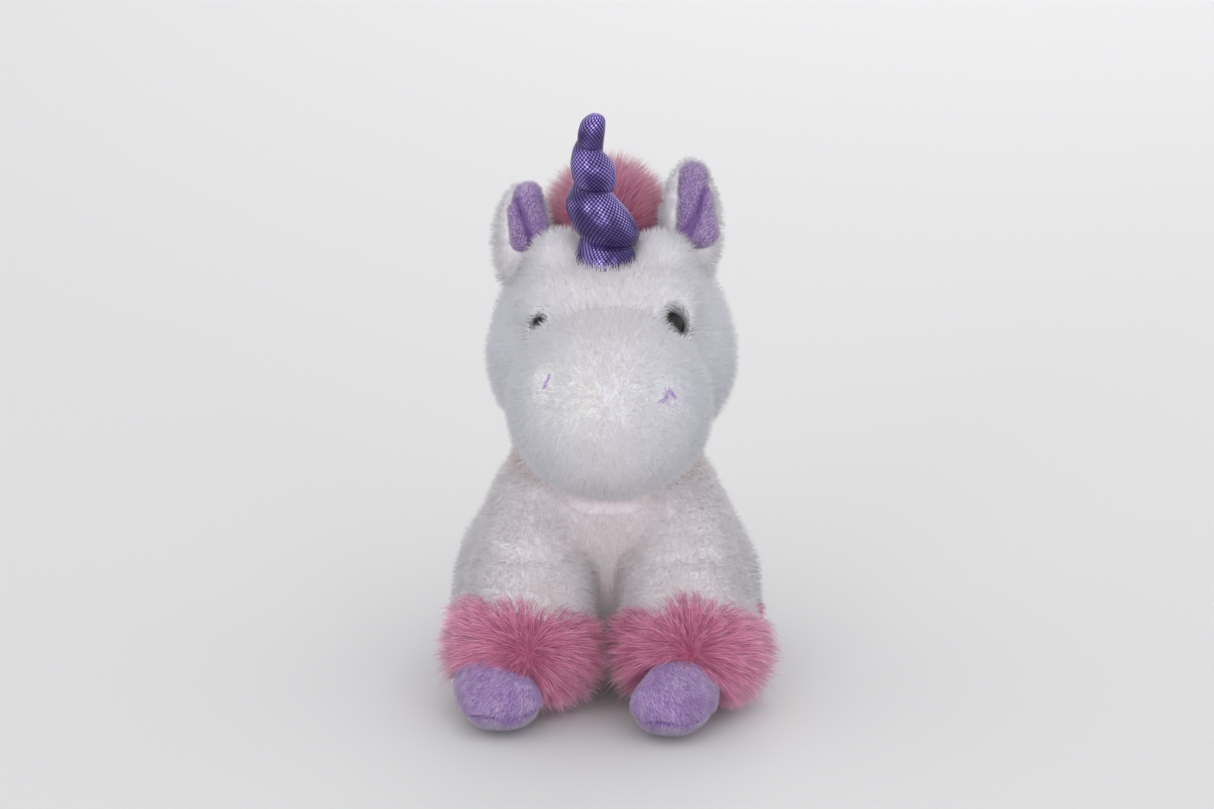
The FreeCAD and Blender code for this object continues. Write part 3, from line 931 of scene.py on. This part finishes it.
def build_leg(kind, side, word):
    """One leg: its cover, cuff, hoof and sole, each with its pile."""
    front = kind == "front"
    root, ankle, radii, _ = leg_form(kind)
    name = f"{kind}_{word}_leg"
    whole = leg_field(side, kind)
    hoof_shape, hoof_centre, hoof_radii = hoof_field(side, kind)
    edge_point, edge_normal = CUFF_EDGE[kind]
    mirror = np.array([side, 1, 1])
    pole = CUFF_POLE[kind] * mirror

    def beyond(p):
        """How far into the cuff a point lies."""
        wave = 1.2 * np.sin(p[:, 0] * 0.35 + 2)
        if front and side > 0:
            wave = wave - 6 * (1 - np.exp(-(((p[:, 0] - 36) / 13) ** 2))) + 1.5
        elif front:
            wave = wave - 0.16 * (p[:, 0] + 47)
        return (mirrored(p, side) - edge_point) @ edge_normal + wave

    def cover_field(p):
        return smooth_max(smooth_max(whole(p), beyond(p), 2), 0.8 - p[:, 2], 3)

    def cuff_field(p):
        return smooth_max(smooth_max(whole(p) + 0.3, -beyond(p), 2), 1.0 - p[:, 2], 3)

    def sole_split(p):
        """Height above the wavy sole seam."""
        x, y = p[:, 0] - hoof_centre[0], p[:, 1] - hoof_centre[1]
        return p[:, 2] - (8.0 if front else 7.0) + 0.12 * y - 0.006 * x * x + 0.9 * np.sin(x * 0.33)

    def upper_field(p):
        return smooth_max(hoof_shape(p), 0.15 - sole_split(p), 2.2)

    def under_field(p):
        return smooth_max(hoof_shape(p) + 0.2, sole_split(p) + 0.15, 2.2)

    def inner(spots):
        """1 between the legs, 0 elsewhere."""
        return np.clip((22 - side * spots[:, 0]) / 16, 0, 1)

    def cuff_reach(spots):
        """Longer away from the pole and between the legs."""
        long = 19.0 if front else 11.5
        return long * (np.clip(0.65 + length(spots - pole) / 70, 0, 1) + 0.42 * inner(spots))

    def cuff_tint(spots, normals):
        """Deeper pink near the pole, and deeper still between the legs as painted shade."""
        return (0.28 + 0.42 * np.clip(length(spots - pole) / 36, 0, 1)) * (1 - 0.75 * inner(spots))

    ends = np.stack([root * mirror, ankle * mirror])
    low, high = ends.min(0) - max(radii) * 1.15 - 4, ends.max(0) + max(radii) * 1.15 + 4
    cover = Form(f"{name}_plush", name, f"{name}_cover", "white_plush", cover_field, low, high, 2.0)
    cuff = Form(f"{name}_cuff_backing", name, f"{name}_cuff", "pink_long_pile", cuff_field, low, high, 1.8)
    low, high = hoof_centre - hoof_radii - 7, hoof_centre + hoof_radii + 7
    hoof = Form(f"{name}_hoof_velvet", name, f"{name}_hoof", "lilac_plush", upper_field, low, high, 1.1)
    sole = Form(f"{name}_sole_velvet", name, f"{name}_sole", "lilac_sole_plush", under_field, low, high, 1.1)

    fine = 1.0 if front else 0.75
    grow(f"{name}_pile", cover, 1.6 * fine, even(5.2), nap(1.0, (0, -0.3, -0.5), 0.28), chest_tint, 0.17,
         keep=lambda c: beyond(c) < 0.5, avoid=[lambda p: torso_field(p) + 1.2], **PLUSH)
    grow(f"{name}_cuff_pile", cuff, 2.4 * fine, cuff_reach, radial(pole, 0.66, 1.25, 0.27), cuff_tint, 0.14,
         rings=2, curl=lambda p, n: -0.30 * n + [0, 0, -0.18], avoid=[lambda p: hoof_shape(p) - 0.3],
         outside=[torso_field] + ([hoof_field(side, "hind")[0]] if front else []),
         keep=lambda c: beyond(c) > -0.5, every=9, pull=0.5, soft=0.66)
    grow(f"{name}_hoof_pile", hoof, 4.5 * fine, even(2.7), nap(0.45, (0.45 * side, -0.6, -0.6), 0.22),
         velvet_tint(0.52), 0.14, keep=lambda c: sole_split(c) > 1.2, avoid=[lambda p: cuff_field(p) + 2],
         soft=0.7, **VELVET)
    # The sole's pile is tinted lighter than the hoof's: painted light on the forward-facing sole.
    grow(f"{name}_sole_pile", sole, 4.5 * fine, even(2.0), nap(0.7, (0.2 * side, -0.5, -0.2), 0.25),
         velvet_tint(0.72), 0.14, keep=lambda c: (c[:, 2] > 2) & (sole_split(c) < -1.0), soft=0.7, **VELVET)


for kind in ("front", "hind"):
    build_leg(kind, 1, "left")
    build_leg(kind, -1, "right")

# ---- mane and tail


def crest_field(p):
    ridge = ellipsoid(p, np.array([0.0, -9.0, 172.0]), np.array([21, 28, 45.0]))
    return smooth_max(ridge, -(skull_form(p) + 1.0), 3)


def nape_field(p):
    lump = ellipsoid(p, np.array([0, 17.0, 80.0]), np.array([12, 14, 26.0]))
    return smooth_max(smooth_max(lump, -(torso_field(p) + 1.0), 2), 46.0 - length(p - NECK), 2)


def tail_field(p):
    middle_point, tip = np.array([0, 80.0, 26.0]), np.array([0, 112.0, 13.0])
    front = capsule(p, TAIL, middle_point, 6.2, 12.3)
    return smooth_min(front, capsule(p, middle_point, tip, 12.3, 4.5), 4)


crest = Form("mane_crest_backing", "head", "mane_crest", "pink_long_pile", crest_field,
             (-30, -50, 120), (30, 40, 235), 2.0)
nape = Form("mane_nape_backing", "torso", "mane_nape", "pink_long_pile", nape_field,
            (-25, -10, 45), (25, 45, 115), 1.8)
tail = Form("tail_backing", "tail", "tail_hair", "pink_long_pile", tail_field,
            (-25, 35, 0), (25, 125, 60), 1.6)


def mane_flow(spots, normals):
    """Up and outward on top of the head, falling down behind it."""
    outward = np.zeros_like(spots) + [0, 0.1, 0.75]
    outward[:, 0] = np.clip(spots[:, 0] / 13, -1, 1)
    falling = np.clip((188 - spots[:, 2]) / 22, 0, 1) * np.clip((spots[:, 1] + 22) / 20, 0, 1)
    outward = outward * (1 - falling[:, None]) + np.array([0, 0.35, -1.0]) * falling[:, None]
    return normals * 0.4 + outward + jitter(len(spots), 0.2)


grow("mane_crest_pile", crest, 2.6, even(16), mane_flow,
     lambda p, n: 0.12 + 0.3 * np.clip((p[:, 2] - 195) / 25, -0.3, 1), 0.15, rings=2,
     curl=lambda p, n: np.array([0, 0.05, -0.12]), avoid=[lambda p: skull_form(p) + 1], every=20, pull=0.15,
     soft=0.85)
grow("mane_nape_pile", nape, 1.4, even(14), nap(0.7, (0, 0.2, -0.9), 0.18), even(0.4), 0.17,
     rings=3, shadow=True, curl=lambda p, n: np.array([0, -0.1, -0.15]), every=24, pull=0.5, soft=0.62,
     avoid=[lambda p: torso_field(p) + 1, lambda p: length(p - NECK) - 46.5])
grow("tail_pile", tail, 1.3, lambda p: 16 - 0.38 * np.clip(p[:, 1] - 92, 0, 30),
     nap(0.5, (0, 1.0, -0.35), 0.16), even(0.42), 0.18,
     rings=3, shadow=True, curl=lambda p, n: np.array([0, 0.1, -0.12]), every=26, pull=0.5, soft=0.62)

# ---- ears

EAR_BACKS = {
    1: (np.array([36.5, -32.0, 204.0]), np.array([12.0, 8.5, 29.5])),
    -1: (np.array([-37.0, -32.0, 197.5]), np.array([11.5, 8.5, 24.5])),
}
EAR_LOBES = {
    1: [((37.8, 228.0), 6.1, (33.2, 203.5), 2.5), ((43.4, 218.0), 2.8, (41.2, 202.5), 7.2)],
    -1: [((-34.8, 219.0), 6.0, (-30.2, 203.5), 4.6), ((-40.4, 211.5), 2.8, (-37.2, 199.0), 4.8)],
}
EAR_SLITS = {
    1: [(42.2, 222.0), (39.2, 210.5), (32.6, 200.0)],
    -1: [(-39.6, 217.5), (-35.9, 207.2), (-32.2, 197.0)],
}
EAR_FRONT = -39.0
EAR_FLATNESS = 1.45


def flat_capsule(p, a, b, ra, rb):
    """A tapering bar in the plane of an ear, flattened from front to back."""
    q = np.stack([p[:, 0], (p[:, 1] - EAR_FRONT) * EAR_FLATNESS, p[:, 2]], 1)
    return capsule(q, (a[0], 0, a[1]), (b[0], 0, b[1]), ra, rb) / EAR_FLATNESS


def ear_slit(side):
    """The slit between an ear's two lobes, seen from the front."""
    top, middle_point, bottom = EAR_SLITS[side]

    def field(p):
        ahead = p * [1, 0, 1]
        upper = capsule(ahead, (top[0], 0, top[1]), (middle_point[0], 0, middle_point[1]), 0.15, 0.6)
        lower = capsule(ahead, (middle_point[0], 0, middle_point[1]), (bottom[0], 0, bottom[1]), 0.6, 1.2)
        return np.minimum(upper, lower)

    return field


def ear_lobes(side):
    """The folded lining: two puffed lobes with a deep slit between them."""
    slit_line = ear_slit(side)

    def field(p):
        (a0, r0, a1, r1), (b0, s0, b1, s1) = EAR_LOBES[side]
        d = smooth_min(flat_capsule(p, a0, a1, r0, r1), flat_capsule(p, b0, b1, s0, s1), 3.5)
        slit = np.maximum(slit_line(p), p[:, 1] - EAR_FRONT + 0.5)
        return smooth_max(d - 0.3 * lumps(p, 7), -slit, 1.3)

    return field


def ear_back(side):
    centre, radii = EAR_BACKS[side]
    lobes = ear_lobes(side)

    def field(p):
        leaf = ellipsoid(p, centre, radii) - 0.5 * lumps(p + 9, 9)
        leaf = smooth_max(leaf, 0.4 - skull_form(p), 2)
        return smooth_max(leaf, 0.4 - lobes(p), 1.5)

    return field


def build_ear(side, word):
    """One ear: its lining and its back, each with its pile."""
    name = f"ear_{word}"
    lobes, leaf, slit_line = ear_lobes(side), ear_back(side), ear_slit(side)
    low = np.array([EAR_BACKS[side][0][0] - 22, -60, 165.0])
    high = np.array([EAR_BACKS[side][0][0] + 22, -10, 245.0])

    def lining_tint(spots, normals):
        """Dark in the slit: painted shade."""
        return velvet_tint(0.78)(spots, normals) - 0.85 * np.exp(-((slit_line(spots) / 1.7) ** 2))

    lining = Form(f"{name}_lining_velvet", name, f"{name}_lining", "lilac_plush", lobes, low, high, 1.0)
    back = Form(f"{name}_back_plush", name, f"{name}_back", "white_plush", leaf, low, high, 1.4)
    grow(f"{name}_lining_pile", lining, 4.5, even(2.0), nap(0.6, (0.2, -0.2, 0.7), 0.22), lining_tint, 0.14,
         keep=lambda c: c[:, 1] < EAR_FRONT + 3.5, avoid=[lambda p: slit_line(p) - 0.5], soft=0.75, **VELVET)
    grow(f"{name}_back_pile", back, 2.2, lambda p: 5.0 - 0.09 * np.clip(p[:, 2] - 200, 0, 20),
         nap(1.0, (0.2 * side, 0.2, -0.1), 0.3), even(0.38), 0.16, soft=0.97, every=45, pull=0.25,
         avoid=[lambda p: skull_form(p) - 0.8, lambda p: lobes(p) - 0.8])


build_ear(1, "left")
build_ear(-1, "right")

# ---- horn

HORN_UPS = (0, 8, 15, 22, 28, 35, 41, 46, 52, 57, 62, 67, 71, 75)
HORN_RADII = (15.0, 15.0, 14.7, 14.3, 13.5, 12.1, 10.9, 10.2, 9.4, 7.9, 6.8, 6.1, 5.5, 4.8)
SWAY_UPS = (0, 11, 15, 19, 24, 28, 35, 40, 46, 52, 59, 66, 75)
SWAY = (-0.2, 0.9, 2.0, 1.3, -0.3, -1.6, -3.6, -3.2, -2.8, -3.0, -3.8, -2.4, 0.4)
GROOVE_UPS = (-10.0, 15.2, 40.7, 59.7, 78.0)
GROOVE_TURNS = (-1.0, 0.0, 1.0, 2.0, 2.9)
FLATTER = 0.72  # how much flatter the grooves run across the front than behind
CONE_TOP, CONE_TURN = 112.0, 0.133  # the cloth is a flat sheet wound into a cone


def wound(turn):
    """How many grooves lie below a point for each turn of the thread from the front."""
    share = (turn + np.pi / 2) / (2 * np.pi)
    return share - FLATTER * np.sin(2 * np.pi * share) / (2 * np.pi)


def horn_point(up, turn, out=0.0):
    """A point of the horn's wound surface, out millimetres proud of it."""
    near = (curve(up, GROOVE_UPS, GROOVE_TURNS) + wound(turn) + 0.5) % 1 - 0.5
    puff = 0.69 + 0.31 * (1 - (1 - 2 * np.abs(near)) ** 2) ** 0.62
    tip = np.sqrt(np.clip(1 - np.clip((up - (HORN_TALL - 4.5)) / 4.5, 0, 1) ** 2, 0, 1))
    radius = (curve(up, HORN_UPS, HORN_RADII) * puff + out) * tip
    across = radius * np.cos(turn) + curve(up, SWAY_UPS, SWAY)
    local = np.stack([across, radius * np.sin(turn), up + 0 * radius], -1)
    first = unit(np.cross(np.array([0, 1.0, 0]), HORN_AXIS))
    second = np.cross(HORN_AXIS, first)
    return HORN_BASE + local[..., :1] * first + local[..., 1:2] * second + local[..., 2:] * HORN_AXIS


def horn_mesh(name, out, low, high, steps):
    """The horn's surface from low to high along its axis, closed at both ends. Its UV is the cloth
    laid flat, with the seam behind."""
    edges = np.linspace(0.5 * np.pi, 2.5 * np.pi, 121)
    ups = np.linspace(low, high, steps)
    grid = horn_point(ups[:, None], edges[None, :-1], out)
    rows, columns = grid.shape[:2]
    number = np.arange(rows * columns).reshape(rows, columns)
    after = np.roll(number, -1, 1)
    points = np.concatenate([grid.reshape(-1, 3), grid[0].mean(0)[None], grid[-1].mean(0)[None]])
    base, tip = rows * columns, rows * columns + 1
    corners = [number[:-1].ravel(), after[:-1].ravel(), after[1:].ravel(), number[1:].ravel()]
    fans = [[after[0], number[0], np.full(columns, base)], [number[-1], after[-1], np.full(columns, tip)]]

    slant = CONE_TOP - np.concatenate([[low - 1.5], ups, [high + 1.5]])[:, None]
    angle = CONE_TURN * (edges - 1.5 * np.pi)[None]
    sheet = np.stack([slant * np.sin(angle) / SHEET + 0.5, slant * np.cos(angle) / SHEET], -1)
    place = np.arange((rows + 2) * (columns + 1)).reshape(rows + 2, columns + 1)
    inner = place[1:-1]
    flat = [inner[:-1, :-1].ravel(), inner[:-1, 1:].ravel(), inner[1:, 1:].ravel(), inner[1:, :-1].ravel()]
    flat_fans = [[place[1, 1:], place[1, :-1], place[0, :-1]],
                 [place[-2, :-1], place[-2, 1:], place[-1, :-1]]]

    def triangles(quad, ends):
        return np.concatenate([np.stack(quad, -1)[:, [0, 1, 2]], np.stack(quad, -1)[:, [0, 2, 3]],
                               *(np.stack(end, -1) for end in ends)])

    obj = build_mesh(name, points, triangles(corners, fans))
    add_uv(obj, sheet.reshape(-1, 2)[triangles(flat, flat_fans)])
    return obj


adopt(horn_mesh("horn_foil", 0.0, 0.0, HORN_TALL - 0.05, 300), "head", "horn_cover", "foil_cloth", FOIL)
adopt(horn_mesh("horn_stuffing", -1.0, 1.0, HORN_TALL - 2, 150), "head", "horn_filling", "polyester_fill",
      FILLING)


def tube(path, radius, sides=8):
    """Points and quads of a closed round cord along a path."""
    forward = unit(np.gradient(path, axis=0))
    side = unit(np.cross(forward, np.array([0.3, 0.5, 1.0])))
    other = np.cross(forward, side)
    turn = np.linspace(0, 2 * np.pi, sides + 1)[:-1]
    taper = np.ones(len(path))
    taper[0] = taper[-1] = 0.3
    ring = path[:, None] + (radius * taper)[:, None, None] * (
        side[:, None] * np.cos(turn)[None, :, None] + other[:, None] * np.sin(turn)[None, :, None]
    )
    number = np.arange(len(path) * sides).reshape(len(path), sides)
    after = np.roll(number, -1, 1)
    quads = np.stack([number[:-1], after[:-1], after[1:], number[1:]], -1).reshape(-1, 4)
    ends = [number[0, [3, 2, 1, 0]], number[0, [7, 4, 3, 0]], number[0, [7, 6, 5, 4]],
            number[-1, [0, 1, 2, 3]], number[-1, [0, 3, 4, 7]], number[-1, [4, 5, 6, 7]]]
    return ring.reshape(-1, 3), np.concatenate([quads, np.array(ends)])


shares = np.linspace(0.40, -2.24, 400)
turns = shares * 2 * np.pi - np.pi / 2
heights = np.linspace(0, HORN_TALL, 800)
ups = np.interp(-wound(turns), curve(heights, GROOVE_UPS, GROOVE_TURNS), heights)
cord = build_mesh("horn_cord", *tube(horn_point(ups, turns, out=0.2), 0.38))
adopt(cord, "head", "horn_thread", "dark_thread", THREAD)

# ---- nostrils, eyes, hidden pieces

STROKES = {
    "left": [((-4.6, -1.8), (-1.8, -0.9)), ((-2.6, -2.6), (0.6, 2.4)), ((0.2, 2.9), (3.4, -1.8))],
    "right": [((-1.6, -3.4), (0.4, 0.6)), ((0.0, -0.6), (1.6, 3.4))],
}
STRAND_RADIUS, STRAND_APART, STITCH_RISE = 0.30, 0.30, 0.8
for word in ("left", "right"):
    spot = NOSTRILS[word]
    points, faces, count = [], [], 0
    for (x0, z0), (x1, z1) in STROKES[word]:
        for strand in (-1, 0, 1):
            path = []
            for t in np.linspace(0, 1, 12):
                x = spot[0] + x0 + (x1 - x0) * t + strand * STRAND_APART
                point = muzzle_surface(x, spot[2] + z0 + (z1 - z0) * t)
                path.append(point - [0, 0.1 + STITCH_RISE * math.sin(math.pi * t), 0])
            ring, quads = tube(np.array(path), STRAND_RADIUS)
            points.append(ring)
            faces.append(quads + count)
            count += len(ring)
    stitch = build_mesh(f"nostril_{word}_stitches", np.concatenate(points), np.concatenate(faces))
    adopt(stitch, "head", f"nostril_{word}", "lilac_thread", STITCH)

CARRIED = {"eye_left": EYE_BLACK, "eye_right": EYE_BLACK, "eye_washers": WASHER,
           "bean_bag_cover": BAG_CLOTH, "bean_bag_pellets": PELLETS, "tail_core": FILLING}
for node, obj in frame["nodes"].items():
    material = CARRIED.get(node, FILLING if node.endswith("_filling") else None)
    if material:
        obj.data.materials.clear()
        obj.data.materials.append(material)

# ---- stage


bpy.ops.mesh.primitive_plane_add(size=12, location=(0, 0, 0))
floor = bpy.context.object
floor.name = "floor"
floor_material, _, _, shader = new_material("floor")
fill_in(shader, {"Base Color": (0.62, 0.62, 0.63, 1), "Roughness": 0.8})
floor.data.materials.append(floor_material)

world = bpy.data.worlds.new("studio")
bpy.context.scene.world = world
world.use_nodes = True
fill_in(world.node_tree.nodes["Background"], {"Color": (1, 1, 1, 1), "Strength": 0.94})
bpy.context.scene.view_settings.view_transform = "Standard"


def soft_light(name, place, target, size, power):
    data = bpy.data.lights.new(name, "AREA")
    data.size = size
    data.energy = power
    light = bpy.data.objects.new(name, data)
    bpy.context.scene.collection.objects.link(light)
    light.location = place
    light.rotation_euler = (Vector(target) - Vector(place)).to_track_quat("-Z", "Y").to_euler()


MIDST = (0, -0.05, 0.12)
soft_light("left", (-1.0, -2.1, 0.9), MIDST, 0.7, 6.5)
soft_light("right", (1.0, -2.1, 0.8), MIDST, 0.7, 5.0)
soft_light("low", (0.0, -2.2, 0.12), (0, -0.05, 0.08), 0.9, 6.8)
soft_light("top", (0.1, 0.1, 1.8), MIDST, 1.6, 3)
soft_light("back", (0.3, 1.6, 0.9), (0, 0, 0.15), 1.0, 6)

ELEVATION = math.radians(18)
DISTANCE = 3.0
SENSOR = 36.0
VIEW_WIDTH = 0.53416  # metres across the picture at the target
target = Vector((0, -0.060, 0.130))
camera_data = bpy.data.cameras.new("camera")
camera_data.sensor_width = SENSOR
camera_data.lens = SENSOR * DISTANCE / VIEW_WIDTH
camera = bpy.data.objects.new("camera", camera_data)
bpy.context.scene.collection.objects.link(camera)
camera.location = target + DISTANCE * Vector((0, -math.cos(ELEVATION), math.sin(ELEVATION)))
camera.rotation_euler = (target - camera.location).to_track_quat("-Z", "Y").to_euler()
bpy.context.scene.camera = camera
